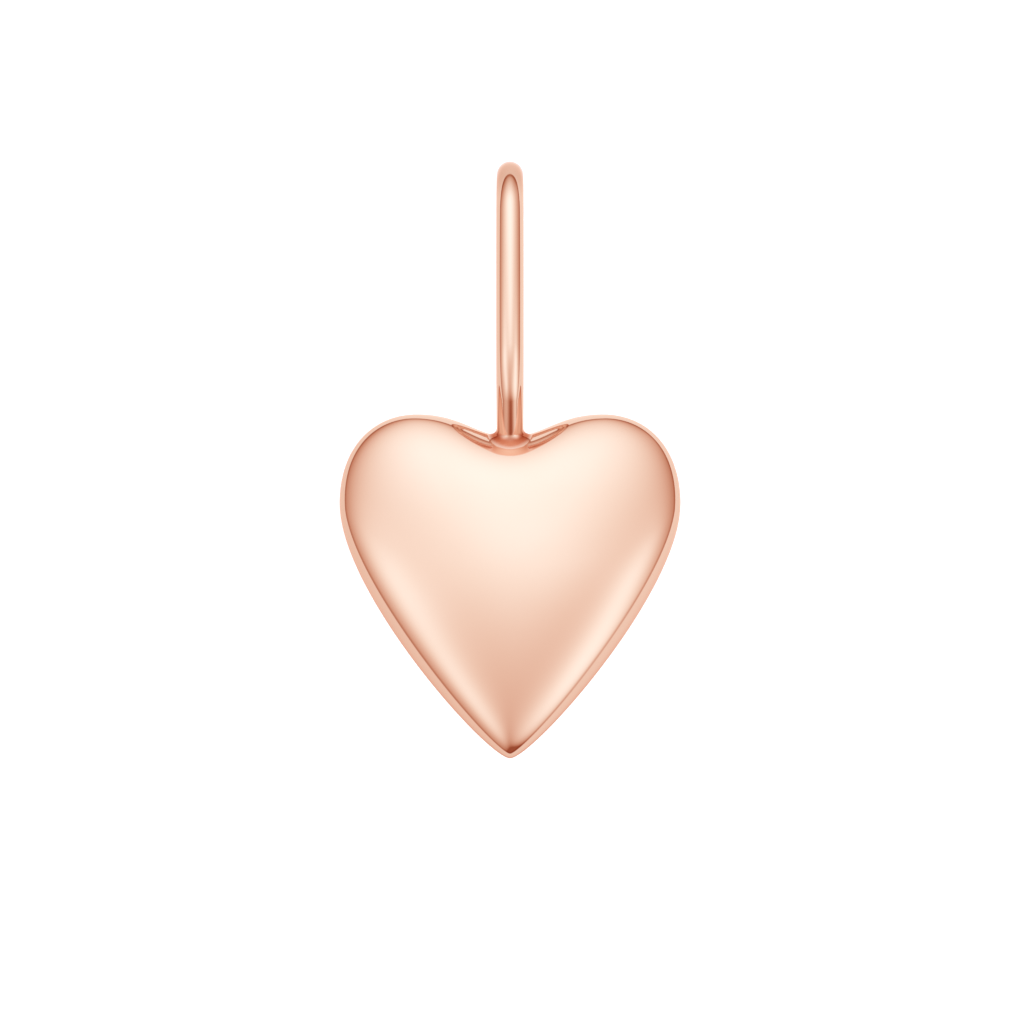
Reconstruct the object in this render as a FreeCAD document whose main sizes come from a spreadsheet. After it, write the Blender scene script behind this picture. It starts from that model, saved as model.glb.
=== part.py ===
# Heart charm pendant: a puffed heart and its long wire loop, cast in one piece.
# Millimetres. X is across the heart, Y is its thickness with the front facing -Y, and Z is up.
# The origin is the seat of the chain: the inside of the loop's top, on the loop's middle line.
import FreeCAD, Part
import math
import os
import Sketcher

SIZES = [
    # The wire and the loop, which stands in the plane through the middle of the heart
    ("wire_diameter", 0.80),
    ("loop_thickness", 4.60),       # front to back over the wire, at its fullest
    ("loop_full_drop", 3.20),       # from the seat down to the fullest place
    ("loop_side_radius", 12.5),     # the long sides, on the wire's middle line
    ("loop_bend_radius", 3.0),      # where the sides turn in towards the heart
    ("leg_lean", 37.0),             # degrees from upright, where the legs run together
    ("loop_length", 7.45),          # from the seat down to the heart's cleft
    ("leg_meet_depth", 0.42),       # the legs' middle lines cross this far below the cleft
    ("leg_root", 0.10),             # each leg goes on this far past the crossing
    # The outline of the heart, at its rim
    ("heart_width", 10.30),
    ("lobe_spacing", 5.63),         # between the highest places of the two lobes
    ("lobe_rise", 2.69),            # lobe tops above the widest line
    ("cleft_depth", 0.67),          # cleft below the lobe tops
    ("tip_drop", 7.70),             # tip below the widest line
    ("cleft_ease", 1.02),           # how far the outline keeps its direction at each
    ("lobe_inner_ease", 1.38),      # of these places: larger is fuller there
    ("lobe_outer_ease", 1.28),
    ("shoulder_ease", 1.73),
    ("flank_ease", 2.67),
    ("tip_ease", 0.68),
    # The puff: level lines shrink towards the crown and round out to an oval
    ("heart_thickness", 3.15),
    ("crown_drop", 1.68),           # crown below the widest line
    ("crown_width", 9.52),
    ("crown_rise", 4.12),
    ("crown_fall", 4.53),
    ("cast_fillet", 0.30),          # round the loop's foot and between its legs
]

# The puff's skin is drawn in this many equal turns, from the back crown over the rim to the front
SKIN_TURNS = 6
# The pull of a quarter of an oval on the ends of its curve, as a share of its radius
QUARTER_PULL = 4 / 3 * math.tan(math.radians(22.5))


def fill_sheet(document):
    sheet = document.addObject("Spreadsheet::Sheet", "sizes")
    for row, (alias, value) in enumerate(SIZES, start=1):
        sheet.set(f"A{row}", str(value))
        sheet.setAlias(f"A{row}", alias)
    document.recompute()
    return sheet


def widest_height(sheet):
    """How high the heart is widest, in the part's own frame."""
    return -sheet.loop_length - (sheet.lobe_rise - sheet.cleft_depth)


def heart_places(sheet):
    """Half the rim's control points from the tip round to the cleft, above the crown."""
    half_width = sheet.heart_width / 2
    half_spacing = sheet.lobe_spacing / 2
    lobe_level = sheet.crown_drop + sheet.lobe_rise
    cleft_level = lobe_level - sheet.cleft_depth
    tip_level = sheet.crown_drop - sheet.tip_drop
    return [
        (0, tip_level),
        (sheet.tip_ease, tip_level),
        (half_width, sheet.crown_drop - sheet.flank_ease),
        (half_width, sheet.crown_drop + sheet.shoulder_ease),
        (half_spacing + sheet.lobe_outer_ease, lobe_level),
        (half_spacing - sheet.lobe_inner_ease, lobe_level),
        (sheet.cleft_ease, cleft_level),
    ]


def oval_places(sheet):
    """The same control points on the oval that the level lines round out to."""
    half_width = sheet.crown_width / 2
    rise = sheet.crown_rise
    fall = sheet.crown_fall
    # The upper quarter is split where the heart's lobe splits it, by the eases of its two parts
    inner = sheet.lobe_inner_ease / (sheet.lobe_inner_ease + sheet.lobe_outer_ease)
    split = math.radians(90) * inner
    inner_pull = 4 / 3 * math.tan(split / 4)
    outer_pull = 4 / 3 * math.tan((math.radians(90) - split) / 4)
    across = math.sin(split)
    up = math.cos(split)
    return [
        (0, -fall),
        (half_width * QUARTER_PULL, -fall),
        (half_width, -fall * QUARTER_PULL),
        (half_width, rise * outer_pull),
        (half_width * (across + outer_pull * up), rise * (up - outer_pull * across)),
        (half_width * (across - inner_pull * up), rise * (up + inner_pull * across)),
        (half_width * inner_pull, rise),
    ]


def skin_column(sheet, rim, oval):
    """Control points of one meridian, from the back of the crown over the rim to its front."""
    crown_height = widest_height(sheet) - sheet.crown_drop
    half_thickness = sheet.heart_thickness / 2
    step = math.pi / SKIN_TURNS

    def place(turn):
        """On the skin at this turn: the rim at 0, the crown at a quarter turn each way."""
        keep = math.cos(turn)
        rounding = keep * math.sin(turn) ** 2
        x, z = (keep * r + rounding * (o - r) for r, o in zip(rim, oval))
        return FreeCAD.Vector(x, -half_thickness * math.sin(turn), crown_height + z)

    def pull(turn):
        """A third of a step along the skin's direction there."""
        keep = -math.sin(turn)
        rounding = math.sin(turn) * (2 * math.cos(turn) ** 2 - math.sin(turn) ** 2)
        x, z = (keep * r + rounding * (o - r) for r, o in zip(rim, oval))
        return FreeCAD.Vector(x, -half_thickness * math.cos(turn), z) * (step / 3)

    column = [place(-math.pi / 2)]
    for number in range(SKIN_TURNS):
        start = -math.pi / 2 + number * step
        column.append(place(start) + pull(start))
        column.append(place(start + step) - pull(start + step))
    column.append(place(math.pi / 2))
    return column


def puffed_heart(sheet):
    """The puffed heart as one smooth skin, closed round its outline and at both crowns."""
    half = list(zip(heart_places(sheet), oval_places(sheet)))
    other_half = [((-rim[0], rim[1]), (-oval[0], oval[1])) for rim, oval in reversed(half)]
    columns = [skin_column(sheet, rim, oval) for rim, oval in half + other_half]
    lobe = 1.0
    shoulder = lobe * sheet.lobe_outer_ease / sheet.lobe_inner_ease
    flank = shoulder * sheet.flank_ease / sheet.shoulder_ease
    outline_knots = [0.0]
    for length in (flank, shoulder, lobe, lobe, shoulder, flank):
        outline_knots.append(outline_knots[-1] + length)
    turn_knots = [float(number) for number in range(SKIN_TURNS + 1)]
    surface = Part.BSplineSurface()
    surface.buildFromPolesMultsKnots(
        columns,
        [4] + [2] * (len(outline_knots) - 2) + [4],
        [4] + [2] * (len(turn_knots) - 2) + [4],
        outline_knots, turn_knots, False, False, 3, 3)
    # One face runs over both lobes between the widest places, and one down each flank
    ends = [outline_knots[0], outline_knots[1], outline_knots[-2], outline_knots[-1]]
    faces = []
    for start, end in zip(ends, ends[1:]):
        face = surface.copy()
        face.segment(start, end, turn_knots[0], turn_knots[-1])
        faces.append(face.toShape())
    shell = Part.makeShell(faces)
    shell.sewShape()
    return Part.makeSolid(shell)


def origin_plane(body, role):
    return [feature for feature in body.Origin.OriginFeatures if feature.Role == role][0]


def sketch_on(body, name, role):
    sketch = body.newObject("Sketcher::SketchObject", name)
    sketch.AttachmentSupport = (origin_plane(body, role), [""])
    sketch.MapMode = "FlatFace"
    return sketch


def bind(sketch, constraint, name, expression):
    """Adds a constraint under a name and ties its value to the sheet."""
    index = sketch.addConstraint(constraint)
    sketch.renameConstraint(index, name)
    sketch.setExpression(f"Constraints.{name}", expression)


def arc_between(centre, start, end):
    """The arc round a centre, anticlockwise from one place to another."""
    radius = (start - centre).Length
    start_turn = math.atan2(start.y - centre.y, start.x - centre.x)
    end_turn = math.atan2(end.y - centre.y, end.x - centre.x)
    circle = Part.Circle(centre, FreeCAD.Vector(0, 0, 1), radius)
    return Part.ArcOfCircle(circle, start_turn, end_turn)


def draw_half_loop(body, sheet):
    """The wire's middle line in half the loop: top arc, long side, bend and straight leg."""
    wire = sheet.wire_diameter / 2
    full = (sheet.loop_thickness - sheet.wire_diameter) / 2
    side_radius = sheet.loop_side_radius
    bend_radius = sheet.loop_bend_radius
    reach = sheet.loop_full_drop + wire
    top_radius = side_radius ** 2 - (side_radius - full) ** 2 - reach ** 2
    top_radius /= 2 * (side_radius - reach)
    side_centre = FreeCAD.Vector(full - side_radius, -sheet.loop_full_drop, 0)
    top_centre = FreeCAD.Vector(0, wire - top_radius, 0)
    top = FreeCAD.Vector(0, wire, 0)
    top_to_side = side_centre + (top_centre - side_centre).normalize() * side_radius
    # The leg runs up and out from where the two middle lines cross, and the bend touches it
    lean = math.radians(sheet.leg_lean)
    leg = FreeCAD.Vector(math.sin(lean), math.cos(lean), 0)
    inwards = FreeCAD.Vector(-math.cos(lean), math.sin(lean), 0)
    crossing = FreeCAD.Vector(0, -sheet.loop_length - sheet.leg_meet_depth, 0)
    start = crossing + inwards * bend_radius - side_centre
    along = start.dot(leg)
    gap = (side_radius - bend_radius) ** 2 - start.dot(start)
    bend_start = -along + math.sqrt(along ** 2 + gap)
    leg_to_bend = crossing + leg * bend_start
    bend_centre = leg_to_bend + inwards * bend_radius
    side_to_bend = side_centre + (bend_centre - side_centre).normalize() * side_radius
    leg_end = crossing - leg * sheet.leg_root

    sketch = sketch_on(body, "half_loop_line", "YZ_Plane")
    top_arc = sketch.addGeometry(arc_between(top_centre, top_to_side, top), False)
    side_arc = sketch.addGeometry(arc_between(side_centre, side_to_bend, top_to_side), False)
    bend_arc = sketch.addGeometry(arc_between(bend_centre, leg_to_bend, side_to_bend), False)
    leg_line = sketch.addGeometry(Part.LineSegment(leg_to_bend, leg_end), False)
    sketch.addConstraint(Sketcher.Constraint("Tangent", top_arc, 1, side_arc, 2))
    sketch.addConstraint(Sketcher.Constraint("Tangent", side_arc, 1, bend_arc, 2))
    sketch.addConstraint(Sketcher.Constraint("Tangent", bend_arc, 1, leg_line, 1))
    sketch.addConstraint(Sketcher.Constraint("PointOnObject", top_arc, 2, -2))
    sketch.addConstraint(Sketcher.Constraint("PointOnObject", top_arc, 3, -2))
    bind(sketch, Sketcher.Constraint("DistanceY", -1, 1, top_arc, 2, top.y),
         "top", "sizes.wire_diameter / 2")
    bind(sketch, Sketcher.Constraint("Radius", side_arc, side_radius),
         "side_radius", "sizes.loop_side_radius")
    bind(sketch, Sketcher.Constraint("DistanceX", -1, 1, side_arc, 3, side_centre.x),
         "side_across", "(sizes.loop_thickness - sizes.wire_diameter) / 2 - sizes.loop_side_radius")
    bind(sketch, Sketcher.Constraint("DistanceY", -1, 1, side_arc, 3, side_centre.y),
         "side_drop", "-sizes.loop_full_drop")
    bind(sketch, Sketcher.Constraint("Radius", bend_arc, bend_radius),
         "bend_radius", "sizes.loop_bend_radius")
    bind(sketch, Sketcher.Constraint("Angle", leg_line, -math.pi / 2 - lean),
         "lean", "-90 deg - sizes.leg_lean * 1 deg")
    bind(sketch, Sketcher.Constraint("DistanceX", -1, 1, leg_line, 2, leg_end.x),
         "end_across", "-sizes.leg_root * sin(sizes.leg_lean)")
    bind(sketch, Sketcher.Constraint("DistanceY", -1, 1, leg_line, 2, leg_end.y),
         "end_drop",
         "-sizes.loop_length - sizes.leg_meet_depth - sizes.leg_root * cos(sizes.leg_lean)")
    return sketch


def draw_wire(body, sheet):
    """The round wire where it crosses the loop's top."""
    radius = sheet.wire_diameter / 2
    sketch = sketch_on(body, "wire_section", "XZ_Plane")
    middle = FreeCAD.Vector(0, radius, 0)
    ring = sketch.addGeometry(Part.Circle(middle, FreeCAD.Vector(0, 0, 1), radius), False)
    sketch.addConstraint(Sketcher.Constraint("PointOnObject", ring, 3, -2))
    bind(sketch, Sketcher.Constraint("DistanceY", -1, 1, ring, 3, radius),
         "seat", "sizes.wire_diameter / 2")
    bind(sketch, Sketcher.Constraint("Diameter", ring, 2 * radius),
         "wire", "sizes.wire_diameter")
    return sketch


def add_loop(body, sheet):
    """Half the loop swept along its line, and the other half mirrored from it."""
    line = draw_half_loop(body, sheet)
    section = draw_wire(body, sheet)
    half = body.newObject("PartDesign::AdditivePipe", "half_loop")
    half.Profile = section
    half.Spine = (line, [""])
    mirrored = body.newObject("PartDesign::Mirrored", "whole_loop")
    mirrored.Originals = [half]
    mirrored.MirrorPlane = (origin_plane(body, "XZ_Plane"), [""])
    body.Tip = mirrored
    return mirrored


def round_the_foot(body, sheet, loop):
    """Fillets where the legs meet the heart, and up between them."""
    names = []
    for number, edge in enumerate(loop.Shape.Edges, start=1):
        if edge.Degenerated or edge.BoundBox.ZMin < widest_height(sheet):
            continue
        # The legs meet each other along ellipses, and the heart's skin along free curves
        if edge.Curve.TypeId in ("Part::GeomEllipse", "Part::GeomBSplineCurve"):
            names.append(f"Edge{number}")
    fillet = body.newObject("PartDesign::Fillet", "cast_fillet")
    fillet.Base = (loop, names)
    fillet.setExpression("Radius", "sizes.cast_fillet")
    return fillet


def make_charm(document, sheet):
    """The whole casting: the heart's skin, the loop grown out of its cleft, and their fillets."""
    heart = document.addObject("Part::Feature", "puffed_heart")
    heart.Shape = puffed_heart(sheet)
    body = document.addObject("PartDesign::Body", "heart_charm")
    body.Label = "heart_charm"
    body.BaseFeature = heart
    loop = add_loop(body, sheet)
    document.recompute()
    body.Tip = round_the_foot(body, sheet, loop)
    document.recompute()
    return body


def write_parts(document, parts):
    for item in document.Objects:
        if "Invalid" in item.State or "Error" in item.State:
            raise RuntimeError(f"{item.Label} failed: {item.State}")
    os.makedirs("parts", exist_ok=True)
    for part in parts:
        shape = part.Shape
        if shape.isNull() or not shape.isValid() or len(shape.Solids) != 1:
            raise RuntimeError(f"{part.Label} is not one sound solid")
        shape.exportStep(f"parts/{part.Label}.step")
        print(f"{part.Label}: {shape.Volume:.2f} mm3")


document = FreeCAD.newDocument("heart_charm")
sheet = fill_sheet(document)
write_parts(document, [make_charm(document, sheet)])
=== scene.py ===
# Heart charm pendant in polished rose-gold plate: a puffed heart cast in one with its wire loop.
import math

import bpy
import numpy as np
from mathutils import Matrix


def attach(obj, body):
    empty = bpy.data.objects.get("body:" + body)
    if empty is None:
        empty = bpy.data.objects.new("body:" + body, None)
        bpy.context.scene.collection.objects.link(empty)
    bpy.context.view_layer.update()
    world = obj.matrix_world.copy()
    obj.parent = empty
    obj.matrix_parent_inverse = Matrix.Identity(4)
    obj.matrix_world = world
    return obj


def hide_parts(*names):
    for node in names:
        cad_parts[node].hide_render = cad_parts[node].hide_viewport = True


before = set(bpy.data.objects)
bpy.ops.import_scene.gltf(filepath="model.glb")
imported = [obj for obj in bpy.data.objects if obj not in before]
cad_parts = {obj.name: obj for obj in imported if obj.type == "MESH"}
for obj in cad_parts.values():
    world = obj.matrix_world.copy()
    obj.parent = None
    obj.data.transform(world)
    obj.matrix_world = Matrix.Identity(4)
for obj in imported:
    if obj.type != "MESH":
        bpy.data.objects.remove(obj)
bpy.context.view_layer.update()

MM = 0.001

# The charm's own sizes in millimetres, the same as its solid has
WIRE_RADIUS = 0.40
LOOP_THICKNESS = 4.60
LOOP_FULL_DROP = 3.20
LOOP_SIDE_RADIUS = 12.5
LOOP_BEND_RADIUS = 3.0
LEG_LEAN = math.radians(37.0)
LOOP_LENGTH = 7.45
LEG_MEET_DEPTH = 0.42
LEG_ROOT = 0.10
HEART_WIDTH = 10.30
LOBE_SPACING = 5.63
LOBE_RISE = 2.69
CLEFT_DEPTH = 0.67
TIP_DROP = 7.70
CLEFT_EASE = 1.02
LOBE_INNER_EASE = 1.38
LOBE_OUTER_EASE = 1.28
SHOULDER_EASE = 1.73
FLANK_EASE = 2.67
TIP_EASE = 0.68
HEART_THICKNESS = 3.15
CROWN_DROP = 1.68
CROWN_WIDTH = 9.52
CROWN_RISE = 4.12
CROWN_FALL = 4.53
CAST_FILLET = 0.30

# The crown is where the heart is thickest, and the puff is drawn round it
CROWN_HEIGHT = -LOOP_LENGTH - (LOBE_RISE - CLEFT_DEPTH) - CROWN_DROP
# Below this height the two legs are near enough to each other to need a fillet between them
CROTCH_HEIGHT = -5.0

SKIN_MESH_STEP = 0.060
SKIN_RELAX_ROUNDS = 12
SKIN_RELAX_SHARE = 0.5
SKIN_FIT_ROUNDS = 4
OUTLINE_FIT_ROUNDS = 5

# The plate's colours: at large, towards a grazing look, painted shade at the top of the loop, painted shade
# in the corner at the loop's foot
PLATE_WARM = "EDC6B1"
PLATE_PALE = "EFCAB7"
PLATE_EDGE = "FBE0D6"
LOOP_TOP_PAINTED_SHADE = "DDB09A"
CORNER_PAINTED_SHADE = "CA7152"

# The sizes in millimetres of the painted shade and of what shows in the plate; the hairlines' slant is in
# degrees
PLATE_DRIFT = 2.4
LOOP_TOP_SHADE_FROM = -0.75
LOOP_TOP_SHADE_TO = 0.15
CORNER_REACH = 0.28
CORNER_SOFTNESS = 0.14
HAIRLINE_PITCH = 0.020
HAIRLINE_LENGTH = 1.2
HAIRLINE_SLANT = 24.0
HAIRLINE_DEPTH = 0.00004
HAZE_PITCH = 0.7
GRAIN_PITCH = 0.045
GRAIN_DEPTH = 0.0001
WAVER_PITCH = 0.9
WAVER_DEPTH = 0.0003

MIRROR_ROUGHNESS = 0.03
HAZED_ROUGHNESS = 0.08
CORNER_ROUGHNESS = 0.10
LEAST_WORN = 0.10
MOST_WORN = 0.45

# What the metal mirrors. Each light or dark flag has its azimuth from the camera's side towards +X
# and its elevation in degrees, how tight it is, and how bright against white. The room's level and
# all rows but the last two are the outcome of a least-squares fit to how bright the metal is in the
# photograph. They weren't set by hand, and the words beside them say what each would be in a studio
ROOM_LEVEL = 0.539
SOFT_LIGHTS = [
    (-1.5, 42.7, 2.61, 1.231),      # the main soft box, above the camera
    (4.0, -3.0, 13.07, 0.325),      # the pale wall round the lens
    (-47.0, -20.8, 11.30, 0.740),   # a soft strip low on the left, in two parts
    (-41.4, -48.2, 29.47, 0.492),
    (52.8, -16.1, 19.90, 0.511),    # a soft strip low on the right, in two parts
    (64.3, -48.2, 9.09, 1.060),
    (178.0, 37.5, 1.77, -1.600),    # dark cloth that shades the room towards the back
    (93.1, -77.6, 12.49, -1.582),   # the dark edge of the table below
    (0.0, 90.0, 12.0, 0.42),        # a small fill overhead
    (90.0, 45.0, 25.0, 0.20),       # and one high on the right
]
DARKEST = 0.12

# The white card stands behind, with a dim gap round it, and has soft light and shade of its own
CARD_FACES = (0.0, 4.0)
CARD_EDGE = 0.04
CARD_EDGE_BLUR = 0.07
CARD_LEVEL = 0.98
CARD_BY_X = 0.05
CARD_BY_Z = 0.07
LIGHTS_ON_CARD = [
    (180.0, 70.0, 8.0, 0.06),
    (180.0, 28.0, 10.0, 0.42),
    (180.0, -30.0, 9.0, -0.38),
    (145.0, 4.0, 25.0, 0.24),
    (-145.0, 4.0, 25.0, 0.20),
]
GAP_WIDTH = 0.13
GAP_DEPTH = 0.38

# The dimmer the light, the redder it is, by a curve that follows the metal's colours in the photograph
LIGHT_RED = 1.022
DIM_RED_POWER = 0.46
LIGHT_BLUE = 0.978
DIM_BLUE_POWER = 1.26
# What lights matt things
PLAIN_LEVEL = 0.70

# The floor card and the lamp over it, in millimetres and watts
CARD_WHITE = "F2F2F2"
CARD_LIFT = 0.35
FLOOR_HEIGHT = -57.0
FLOOR_FRONT = -260.0
FLOOR_BACK = 220.0
FLOOR_HALF_WIDTH = 320.0
WALL_HEIGHT = 320.0
SWEEP_RADIUS = 80.0
SWEEP_STEPS = 24
LAMP_PLACE = (0.0, -120.0, 260.0)
LAMP_SIZE = 220.0
LAMP_WATTS = 0.6
CAMERA_PLACE = (0.06, -42.97, -9.73)


def linear(hex_colour):
    """An sRGB hex colour as the linear values that the shaders take."""
    levels = [int(hex_colour[i:i + 2], 16) / 255 for i in (0, 2, 4)]
    return [v / 12.92 if v <= 0.04045 else ((v + 0.055) / 1.055) ** 2.4 for v in levels] + [1.0]


def add_node(tree, kind, inputs=None, **settings):
    """Adds a node, sets it up, and gives each named input its value or the socket it follows."""
    node = tree.nodes.new(kind)
    for name, value in settings.items():
        setattr(node, name, value)
    for name, value in (inputs or {}).items():
        if isinstance(value, bpy.types.NodeSocket):
            tree.links.new(value, node.inputs[name])
        else:
            node.inputs[name].default_value = value
    return node


# The charm's shape

def half_outline():
    """Control points of half the rim and half the crown's oval, from the tip round to the cleft."""
    half_width = HEART_WIDTH / 2
    half_spacing = LOBE_SPACING / 2
    lobe_level = CROWN_DROP + LOBE_RISE
    cleft_level = lobe_level - CLEFT_DEPTH
    tip_level = CROWN_DROP - TIP_DROP
    rim = [
        (0, tip_level),
        (TIP_EASE, tip_level),
        (half_width, CROWN_DROP - FLANK_EASE),
        (half_width, CROWN_DROP + SHOULDER_EASE),
        (half_spacing + LOBE_OUTER_EASE, lobe_level),
        (half_spacing - LOBE_INNER_EASE, lobe_level),
        (CLEFT_EASE, cleft_level),
        (0, cleft_level),
    ]
    split = math.radians(90) * LOBE_INNER_EASE / (LOBE_INNER_EASE + LOBE_OUTER_EASE)
    quarter_pull = 4 / 3 * math.tan(math.radians(22.5))
    inner_pull = 4 / 3 * math.tan(split / 4)
    outer_pull = 4 / 3 * math.tan((math.radians(90) - split) / 4)
    across = math.sin(split)
    up = math.cos(split)
    oval = [(x * CROWN_WIDTH / 2, z * CROWN_RISE) for x, z in (
        (1, outer_pull),
        (across + outer_pull * up, up - outer_pull * across),
        (across - inner_pull * up, up + inner_pull * across),
        (inner_pull, 1),
        (0, 1),
    )]
    oval = [(x * CROWN_WIDTH / 2, z * CROWN_FALL) for x, z in (
        (0, -1),
        (quarter_pull, -1),
        (1, -quarter_pull),
    )] + oval
    shoulder = LOBE_OUTER_EASE / LOBE_INNER_EASE
    flank = shoulder * FLANK_EASE / SHOULDER_EASE

    def with_joints(places):
        """The points where its three stretches join, put in between their pulls."""
        tip, tip_pull, flank_pull, shoulder_pull, outer, inner, cleft_pull, cleft = np.array(places, float)
        side = (flank_pull * shoulder + shoulder_pull * flank) / (flank + shoulder)
        lobe = (outer + inner * shoulder) / (1 + shoulder)
        return np.array([
            [tip, tip_pull, flank_pull, side],
            [side, shoulder_pull, outer, lobe],
            [lobe, inner, cleft_pull, cleft],
        ])

    return with_joints(rim), with_joints(oval)


RIM, OVAL = half_outline()


def along_outline(stretches, t):
    """Places and directions on an outline at t, which runs from 0 at the tip to 3 at the cleft."""
    which = np.clip(t.astype(int), 0, 2)
    u = (t - which)[:, None]
    a, b, c, d = (stretches[which, i] for i in range(4))
    v = 1 - u
    place = v ** 3 * a + 3 * v ** 2 * u * b + 3 * v * u ** 2 * c + u ** 3 * d
    direction = 3 * v ** 2 * (b - a) + 6 * v * u * (c - b) + 3 * u ** 2 * (d - c)
    return place, direction


OUTLINE_STEPS = np.linspace(0, 3, 601)
OUTLINE_BEARINGS = [
    np.arctan2(places[:, 1], places[:, 0])
    for places in (along_outline(stretches, OUTLINE_STEPS)[0] for stretches in (RIM, OVAL))
]


def heart_skin(points):
    """How far each point is outside the puffed heart, about, and the way out of it.

    A level line at a share s of the half thickness is the rim, shrunk to cos(turn) and rounded
    towards the oval by s squared, where s is sin(turn).
    """
    half_thickness = HEART_THICKNESS / 2
    side = np.where(points[:, 0] < 0, -1.0, 1.0)
    x = np.abs(points[:, 0]) + 1e-9
    z = points[:, 2] - CROWN_HEIGHT
    s = points[:, 1] / half_thickness
    round_share = np.clip(s * s, 0, 1)[:, None]
    bearing = np.arctan2(z, x)
    on_rim, on_oval = (np.interp(bearing, bearings, OUTLINE_STEPS) for bearings in OUTLINE_BEARINGS)
    t = on_rim + round_share[:, 0] * (on_oval - on_rim)
    for _ in range(OUTLINE_FIT_ROUNDS):
        rim, rim_way = along_outline(RIM, t)
        oval, oval_way = along_outline(OVAL, t)
        line = rim + round_share * (oval - rim)
        way = rim_way + round_share * (oval_way - rim_way)
        miss = line[:, 0] * z - line[:, 1] * x
        t = np.clip(t - miss / (way[:, 0] * z - way[:, 1] * x), 0, 3)
    rim, rim_way = along_outline(RIM, t)
    oval, oval_way = along_outline(OVAL, t)
    line = rim + round_share * (oval - rim)
    way = rim_way + round_share * (oval_way - rim_way)
    normal = np.stack([way[:, 1], -way[:, 0]], 1)
    reach = (normal * line).sum(1)
    share = np.hypot(x, z) / np.hypot(line[:, 0], line[:, 1])
    share_by_rounding = -share * (normal * (oval - rim)).sum(1) / reach
    share_by_rounding = np.where(np.abs(s) < 1, share_by_rounding, 0)
    whole = np.sqrt(share ** 2 + s ** 2)
    slope = np.stack([
        side * share * normal[:, 0] / reach / whole,
        (2 * share * share_by_rounding * s + s) / half_thickness / whole,
        share * normal[:, 1] / reach / whole,
    ], 1)
    steep = np.linalg.norm(slope, axis=1)
    return (whole - 1) / steep, slope / steep[:, None]


def half_loop_line():
    """Half the wire's middle line in the plane of Y and Z: three arcs and the straight leg."""
    full = LOOP_THICKNESS / 2 - WIRE_RADIUS
    reach = LOOP_FULL_DROP + WIRE_RADIUS
    top_radius = LOOP_SIDE_RADIUS ** 2 - (LOOP_SIDE_RADIUS - full) ** 2 - reach ** 2
    top_radius /= 2 * (LOOP_SIDE_RADIUS - reach)
    side_centre = np.array([full - LOOP_SIDE_RADIUS, -LOOP_FULL_DROP])
    top_centre = np.array([0, WIRE_RADIUS - top_radius])
    leg = np.array([math.sin(LEG_LEAN), math.cos(LEG_LEAN)])
    inwards = np.array([-math.cos(LEG_LEAN), math.sin(LEG_LEAN)])
    crossing = np.array([0, -LOOP_LENGTH - LEG_MEET_DEPTH])
    start = crossing + inwards * LOOP_BEND_RADIUS - side_centre
    along = start @ leg
    gap = (LOOP_SIDE_RADIUS - LOOP_BEND_RADIUS) ** 2 - start @ start
    leg_to_bend = crossing + leg * (-along + math.sqrt(along ** 2 + gap))
    bend_centre = leg_to_bend + inwards * LOOP_BEND_RADIUS
    top_turn = math.atan2(*(top_centre - side_centre)[::-1])
    side_turn = math.atan2(*(bend_centre - side_centre)[::-1])
    bend_turn = math.atan2(*(-inwards)[::-1])
    arcs = [
        (top_centre, top_radius, top_turn, math.radians(90)),
        (side_centre, LOOP_SIDE_RADIUS, side_turn, top_turn),
        (bend_centre, LOOP_BEND_RADIUS, bend_turn, side_turn),
    ]
    return arcs, (leg_to_bend, crossing - leg * LEG_ROOT)


LOOP_ARCS, LOOP_LEG = half_loop_line()


def half_loop_skin(points, half):
    """How far each point is outside one half of the loop's wire, and the way out of it."""
    flat = np.stack([points[:, 1] * half, points[:, 2]], 1)
    near = []
    for centre, radius, low, high in LOOP_ARCS:
        turn = np.arctan2(flat[:, 1] - centre[1], flat[:, 0] - centre[0])
        turn = np.clip(turn, low, high)
        near.append(centre + radius * np.stack([np.cos(turn), np.sin(turn)], 1))
    start, end = LOOP_LEG
    share = np.clip((flat - start) @ (end - start) / ((end - start) @ (end - start)), 0, 1)
    near.append(start + share[:, None] * (end - start))
    gaps = np.stack([((flat - place) ** 2).sum(1) for place in near])
    nearest = np.stack(near)[gaps.argmin(0), np.arange(len(points))]
    off = np.stack([points[:, 0], (flat[:, 0] - nearest[:, 0]) * half, flat[:, 1] - nearest[:, 1]], 1)
    distance = np.linalg.norm(off, axis=1)
    return distance - WIRE_RADIUS, off / distance[:, None]


def cast_together(first, second, fillet):
    """Two skins as one, with a round fillet in the corner between them."""
    (a, a_way), (b, b_way) = first, second
    into_a = np.maximum(fillet - a, 0)
    into_b = np.maximum(fillet - b, 0)
    in_corner = (into_a > 0) & (into_b > 0)
    depth = np.where(in_corner, np.hypot(into_a, into_b), 1)
    merged = np.where(in_corner, np.maximum(fillet, np.minimum(a, b)) - depth, np.minimum(a, b))
    way = np.where((a < b)[:, None], a_way, b_way)
    corner_way = (into_a[:, None] * a_way + into_b[:, None] * b_way) / depth[:, None]
    way = np.where(in_corner[:, None], corner_way, way)
    return merged, way / np.linalg.norm(way, axis=1)[:, None]


def charm_skin(points):
    """How far each point is outside the whole charm, and the way out of it."""
    fillet = np.where(points[:, 2] < CROTCH_HEIGHT, CAST_FILLET, 0.0)
    loop = cast_together(half_loop_skin(points, 1), half_loop_skin(points, -1), fillet)
    return cast_together(loop, heart_skin(points), fillet)


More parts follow.
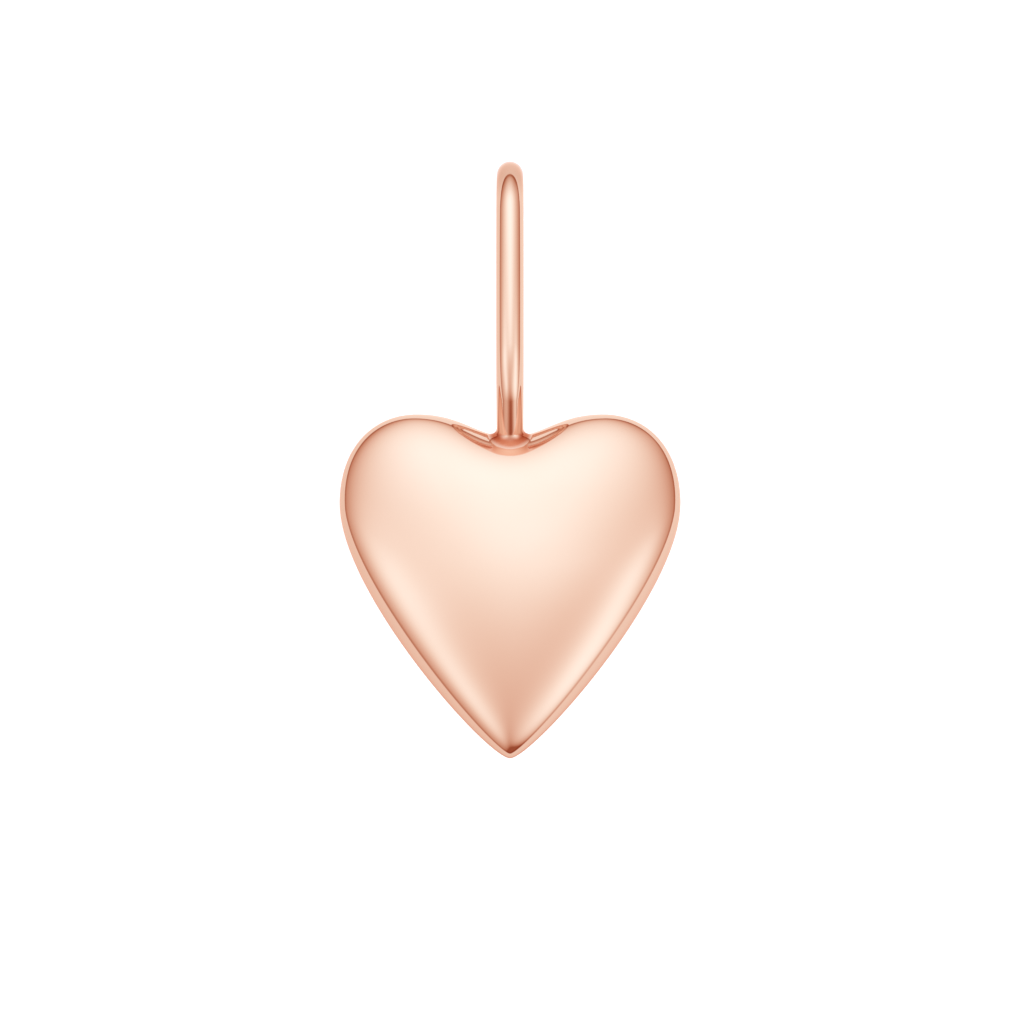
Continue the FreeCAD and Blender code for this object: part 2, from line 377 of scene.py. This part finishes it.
def polished_charm(node):
    """The charm as one fine even mesh that lies on its true curves, with their own normals."""
    rough = node.data.copy()
    rough.transform(((1 / MM, 0, 0, 0), (0, 1 / MM, 0, 0), (0, 0, 1 / MM, 0), (0, 0, 0, 1)))
    blank = bpy.data.objects.new("charm_blank", rough)
    bpy.context.scene.collection.objects.link(blank)
    remesh = blank.modifiers.new("even_skin", "REMESH")
    remesh.mode = "VOXEL"
    remesh.voxel_size = SKIN_MESH_STEP
    remesh.use_smooth_shade = True
    bpy.context.view_layer.update()
    seen = blank.evaluated_get(bpy.context.evaluated_depsgraph_get())
    skin = bpy.data.meshes.new_from_object(seen)
    bpy.data.objects.remove(blank)
    bpy.data.meshes.remove(rough)

    count = len(skin.vertices)
    points = np.empty(count * 3)
    skin.vertices.foreach_get("co", points)
    points = points.reshape(-1, 3)
    ends = np.empty(len(skin.edges) * 2, int)
    skin.edges.foreach_get("vertices", ends)
    ends = ends.reshape(-1, 2)
    neighbours = np.bincount(ends.ravel(), minlength=count)
    for _ in range(SKIN_RELAX_ROUNDS):
        outside, way = charm_skin(points)
        points = points - outside[:, None] * way
        middle = np.stack([
            np.bincount(ends[:, 0], points[ends[:, 1], axis], count)
            + np.bincount(ends[:, 1], points[ends[:, 0], axis], count)
            for axis in range(3)], 1) / neighbours[:, None]
        slide = middle - points
        slide -= (slide * way).sum(1)[:, None] * way
        points = points + SKIN_RELAX_SHARE * slide
    for _ in range(SKIN_FIT_ROUNDS):
        outside, way = charm_skin(points)
        points = points - outside[:, None] * way
    _, way = charm_skin(points)
    # How deep each point lies in the corner at the loop's foot, for the painted shade and the duller mirror
    # there
    to_heart = heart_skin(points)[0]
    to_wire = np.minimum(half_loop_skin(points, 1)[0], half_loop_skin(points, -1)[0])
    corner = skin.attributes.new("corner", "FLOAT", "POINT")
    into_corner = CORNER_REACH - np.maximum(to_heart, to_wire)
    corner.data.foreach_set("value", np.clip(into_corner / CORNER_SOFTNESS, 0, 1))

    skin.vertices.foreach_set("co", (points * MM).ravel())
    skin.update()
    skin.shade_smooth()
    skin.normals_split_custom_set_from_vertices(way.tolist())
    charm = bpy.data.objects.new("heart_charm_polished", skin)
    bpy.context.scene.collection.objects.link(charm)
    return charm


# The finish

def polished_rose_gold():
    """Rose-gold plate over cast silver, tumbled smooth and then mirror polished with a mop.

    Tumbling leaves the cast skin a little uneven, so that reflections waver slightly. The mop leaves
    hairlines that are finer than the eye can part, and they soften the mirror more in some places.
    Towards a grazing look the plate stays pink, where bare silver would go white.
    """
    material = bpy.data.materials.new("polished_rose_gold_plate")
    material.use_nodes = True
    tree = material.node_tree
    tree.nodes.clear()
    place = add_node(tree, "ShaderNodeTexCoord").outputs["Object"]
    in_mm = add_node(tree, "ShaderNodeVectorMath", {0: place, "Scale": 1 / MM}, operation="SCALE").outputs[0]

    # Copper and gold don't lie down evenly in the plating bath: the tone drifts by a percent or so
    drift = add_node(tree, "ShaderNodeTexNoise", {
        "Vector": in_mm, "Scale": 1 / PLATE_DRIFT, "Detail": 2.0, "Roughness": 0.5})
    tone = add_node(tree, "ShaderNodeMix", {
        "Factor": drift.outputs["Fac"], 6: linear(PLATE_WARM), 7: linear(PLATE_PALE)}, data_type="RGBA")

    # Painted shade: the plate is painted in a deeper tone towards the top of the loop
    height = add_node(tree, "ShaderNodeSeparateXYZ", {0: in_mm}).outputs["Z"]
    up_high = add_node(tree, "ShaderNodeMapRange", {
        "Value": height, "From Min": LOOP_TOP_SHADE_FROM, "From Max": LOOP_TOP_SHADE_TO}, interpolation_type="SMOOTHSTEP")
    tone = add_node(tree, "ShaderNodeMix", {
        "Factor": up_high.outputs["Result"], 6: tone.outputs[2], 7: linear(LOOP_TOP_PAINTED_SHADE)}, data_type="RGBA")

    # Painted shade: the corner at the loop's foot is painted in a deeper tone, and it is also duller, as the
    # mop can't reach into it
    corner = add_node(tree, "ShaderNodeAttribute", attribute_name="corner").outputs["Fac"]
    tone = add_node(tree, "ShaderNodeMix", {
        "Factor": corner, 6: tone.outputs[2], 7: linear(CORNER_PAINTED_SHADE)}, data_type="RGBA")

    # The mop turns about X, so its hairlines run up the charm; drawn 4 times as coarse as real ones
    hairline_way = add_node(tree, "ShaderNodeMapping", {
        "Vector": in_mm, "Scale": (1 / HAIRLINE_PITCH, 1 / HAIRLINE_PITCH, 1 / HAIRLINE_LENGTH),
        "Rotation": (0.0, math.radians(HAIRLINE_SLANT), 0.0)})
    hairlines = add_node(tree, "ShaderNodeTexNoise", {
        "Vector": hairline_way.outputs[0], "Scale": 1.0, "Detail": 3.0, "Roughness": 0.6})
    haze = add_node(tree, "ShaderNodeTexNoise", {
        "Vector": in_mm, "Scale": 1 / HAZE_PITCH, "Detail": 3.0, "Roughness": 0.55})
    worn = add_node(tree, "ShaderNodeMath", {
        0: hairlines.outputs["Fac"], 1: haze.outputs["Fac"]}, operation="MULTIPLY")
    roughness = add_node(tree, "ShaderNodeMapRange", {
        "Value": worn.outputs[0], "From Min": LEAST_WORN, "From Max": MOST_WORN,
        "To Min": MIRROR_ROUGHNESS, "To Max": HAZED_ROUGHNESS})
    roughness = add_node(tree, "ShaderNodeMix", {
        "Factor": corner, "A": roughness.outputs["Result"], "B": CORNER_ROUGHNESS})

    # The wavering left by tumbling, the hairlines, and the plate's grain, drawn 10 times as coarse
    grain = add_node(tree, "ShaderNodeTexNoise", {
        "Vector": in_mm, "Scale": 1 / GRAIN_PITCH, "Detail": 1.0, "Roughness": 0.5})
    waver = add_node(tree, "ShaderNodeTexNoise", {
        "Vector": in_mm, "Scale": 1 / WAVER_PITCH, "Detail": 1.0, "Roughness": 0.4})
    bump = None
    for height, depth in ((waver, WAVER_DEPTH), (hairlines, HAIRLINE_DEPTH), (grain, GRAIN_DEPTH)):
        inputs = {"Height": height.outputs["Fac"], "Strength": 1.0, "Distance": depth * MM}
        if bump:
            inputs["Normal"] = bump.outputs["Normal"]
        bump = add_node(tree, "ShaderNodeBump", inputs)
    shader = add_node(tree, "ShaderNodeBsdfPrincipled", {
        "Base Color": tone.outputs[2],
        "Metallic": 1.0,
        "Roughness": roughness.outputs["Result"],
        "Specular Tint": linear(PLATE_EDGE),
        "Normal": bump.outputs["Normal"],
    })
    add_node(tree, "ShaderNodeOutputMaterial", {"Surface": shader.outputs["BSDF"]})
    return material


def matt_card():
    """White matt card, which the camera sees as plain white with the charm's shadow on it."""
    material = bpy.data.materials.new("matt_white_card")
    material.use_nodes = True
    tree = material.node_tree
    tree.nodes.clear()
    card = add_node(tree, "ShaderNodeBsdfDiffuse", {"Color": linear(CARD_WHITE), "Roughness": 1.0})
    path = add_node(tree, "ShaderNodeLightPath")
    seen = add_node(tree, "ShaderNodeMath", {
        0: path.outputs["Is Camera Ray"], 1: path.outputs["Is Glossy Ray"]}, operation="ADD")
    seen = add_node(tree, "ShaderNodeMath", {
        0: seen.outputs[0], 1: path.outputs["Is Transmission Ray"]}, operation="ADD", use_clamp=True)
    lift = add_node(tree, "ShaderNodeMath", {0: seen.outputs[0], 1: CARD_LIFT}, operation="MULTIPLY")
    glow = add_node(tree, "ShaderNodeEmission", {"Color": linear("FFFFFF"), "Strength": lift.outputs[0]})
    both = add_node(tree, "ShaderNodeAddShader", {0: card.outputs[0], 1: glow.outputs[0]})
    add_node(tree, "ShaderNodeOutputMaterial", {"Surface": both.outputs[0]})
    return material


# The studio

def bearing(azimuth, elevation):
    """A direction from the charm: azimuth from the camera's side towards +X, elevation upwards."""
    azimuth = math.radians(azimuth)
    elevation = math.radians(elevation)
    return (
        math.sin(azimuth) * math.cos(elevation),
        -math.cos(azimuth) * math.cos(elevation),
        math.sin(elevation),
    )


def studio():
    """What the polished metal mirrors: soft lights in a dim warm room, and white card behind."""
    world = bpy.data.worlds.new("studio")
    bpy.context.scene.world = world
    world.use_nodes = True
    tree = world.node_tree
    tree.nodes.clear()
    looking = add_node(tree, "ShaderNodeTexCoord").outputs["Generated"]

    def maths(operation, *values):
        return add_node(tree, "ShaderNodeMath", dict(enumerate(values)), operation=operation).outputs[0]

    def towards(way):
        dot = add_node(tree, "ShaderNodeVectorMath", {0: looking, 1: way}, operation="DOT_PRODUCT")
        return dot.outputs["Value"]

    def soft_step(value, low, high, bottom, top):
        step = add_node(tree, "ShaderNodeMapRange", {
            "Value": value, "From Min": low, "From Max": high, "To Min": bottom, "To Max": top,
        }, interpolation_type="SMOOTHSTEP")
        return step.outputs["Result"]

    room = ROOM_LEVEL
    for azimuth, elevation, tightness, level in SOFT_LIGHTS:
        spread = maths("MULTIPLY_ADD", towards(bearing(azimuth, elevation)), tightness, -tightness)
        room = maths("MULTIPLY_ADD", maths("EXPONENT", spread), level, room)
    behind = towards([-axis for axis in bearing(*CARD_FACES)])
    gap = soft_step(behind, CARD_EDGE - GAP_WIDTH, CARD_EDGE, 1.0, 1.0 - GAP_DEPTH)
    room = maths("MULTIPLY", maths("MAXIMUM", room, DARKEST), gap)
    card = maths("MULTIPLY_ADD", towards((1, 0, 0)), CARD_BY_X, CARD_LEVEL)
    card = maths("MULTIPLY_ADD", towards((0, 0, 1)), CARD_BY_Z, card)
    for azimuth, elevation, tightness, level in LIGHTS_ON_CARD:
        spread = maths("MULTIPLY_ADD", towards(bearing(azimuth, elevation)), tightness, -tightness)
        card = maths("MULTIPLY_ADD", maths("EXPONENT", spread), level, card)
    on_card = soft_step(behind, CARD_EDGE, CARD_EDGE + CARD_EDGE_BLUR, 0.0, 1.0)

    green = add_node(tree, "ShaderNodeMix", {"Factor": on_card, "A": room, "B": card}).outputs["Result"]
    red = maths("MULTIPLY", maths("POWER", green, DIM_RED_POWER), LIGHT_RED)
    blue = maths("MULTIPLY", maths("POWER", green, DIM_BLUE_POWER), LIGHT_BLUE)
    mirrored = add_node(tree, "ShaderNodeCombineColor", {"Red": red, "Green": green, "Blue": blue})

    path = add_node(tree, "ShaderNodeLightPath")
    sharp = maths("MAXIMUM", path.outputs["Is Glossy Ray"], path.outputs["Is Transmission Ray"])
    plain = add_node(tree, "ShaderNodeBackground", {"Color": linear("FFFFFF"), "Strength": PLAIN_LEVEL})
    shown = add_node(tree, "ShaderNodeBackground", {"Color": mirrored.outputs[0], "Strength": 1.0})
    white = add_node(tree, "ShaderNodeBackground", {"Color": linear("FFFFFF"), "Strength": 1.0})
    light = add_node(tree, "ShaderNodeMixShader", {0: sharp, 1: plain.outputs[0], 2: shown.outputs[0]})
    light = add_node(tree, "ShaderNodeMixShader", {
        0: path.outputs["Is Camera Ray"], 1: light.outputs[0], 2: white.outputs[0]})
    add_node(tree, "ShaderNodeOutputWorld", {"Surface": light.outputs[0]})


def floor():
    """A sheet of white card under the charm, swept up behind it in one soft bend."""
    rows = [(FLOOR_FRONT, FLOOR_HEIGHT), (FLOOR_BACK - SWEEP_RADIUS, FLOOR_HEIGHT)]
    for step in range(1, SWEEP_STEPS + 1):
        turn = math.radians(90) * step / SWEEP_STEPS
        rows.append((FLOOR_BACK - SWEEP_RADIUS * (1 - math.sin(turn)),
                     FLOOR_HEIGHT + SWEEP_RADIUS * (1 - math.cos(turn))))
    rows.append((FLOOR_BACK, FLOOR_HEIGHT + WALL_HEIGHT))
    points = [(x * MM, y * MM, z * MM) for y, z in rows for x in (-FLOOR_HALF_WIDTH, FLOOR_HALF_WIDTH)]
    faces = [(2 * i, 2 * i + 1, 2 * i + 3, 2 * i + 2) for i in range(len(rows) - 1)]
    sheet = bpy.data.meshes.new("floor_card")
    sheet.from_pydata(points, [], faces)
    sheet.shade_smooth()
    sheet.materials.append(matt_card())
    card = bpy.data.objects.new("floor_card", sheet)
    card.visible_glossy = False
    bpy.context.scene.collection.objects.link(card)


def overhead_lamp():
    """One wide soft lamp above and in front, which gives the floor its faint shadow."""
    lamp = bpy.data.lights.new("overhead_soft_lamp", "AREA")
    lamp.shape = "SQUARE"
    lamp.size = LAMP_SIZE * MM
    lamp.energy = LAMP_WATTS
    up_high = bpy.data.objects.new("overhead_soft_lamp", lamp)
    up_high.location = [axis * MM for axis in LAMP_PLACE]
    up_high.rotation_euler = (math.atan2(-LAMP_PLACE[1], LAMP_PLACE[2]), 0, 0)
    up_high.visible_glossy = False
    bpy.context.scene.collection.objects.link(up_high)


def camera():
    """Level with the middle of the charm, as near as the photograph's own perspective says."""
    view = bpy.data.cameras.new("camera")
    view.lens = 50
    view.sensor_width = 36
    view.clip_start = 1 * MM
    view.clip_end = 10
    seen_from = bpy.data.objects.new("camera", view)
    seen_from.location = [axis * MM for axis in CAMERA_PLACE]
    seen_from.rotation_euler = (math.radians(90), 0, 0)
    bpy.context.scene.collection.objects.link(seen_from)
    bpy.context.scene.camera = seen_from


camera()
studio()
floor()
overhead_lamp()
charm = polished_charm(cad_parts["heart_charm"])
charm.data.materials.clear()
charm.data.materials.append(polished_rose_gold())
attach(charm, "root")
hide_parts("heart_charm")

bpy.context.scene.view_settings.view_transform = "Standard"
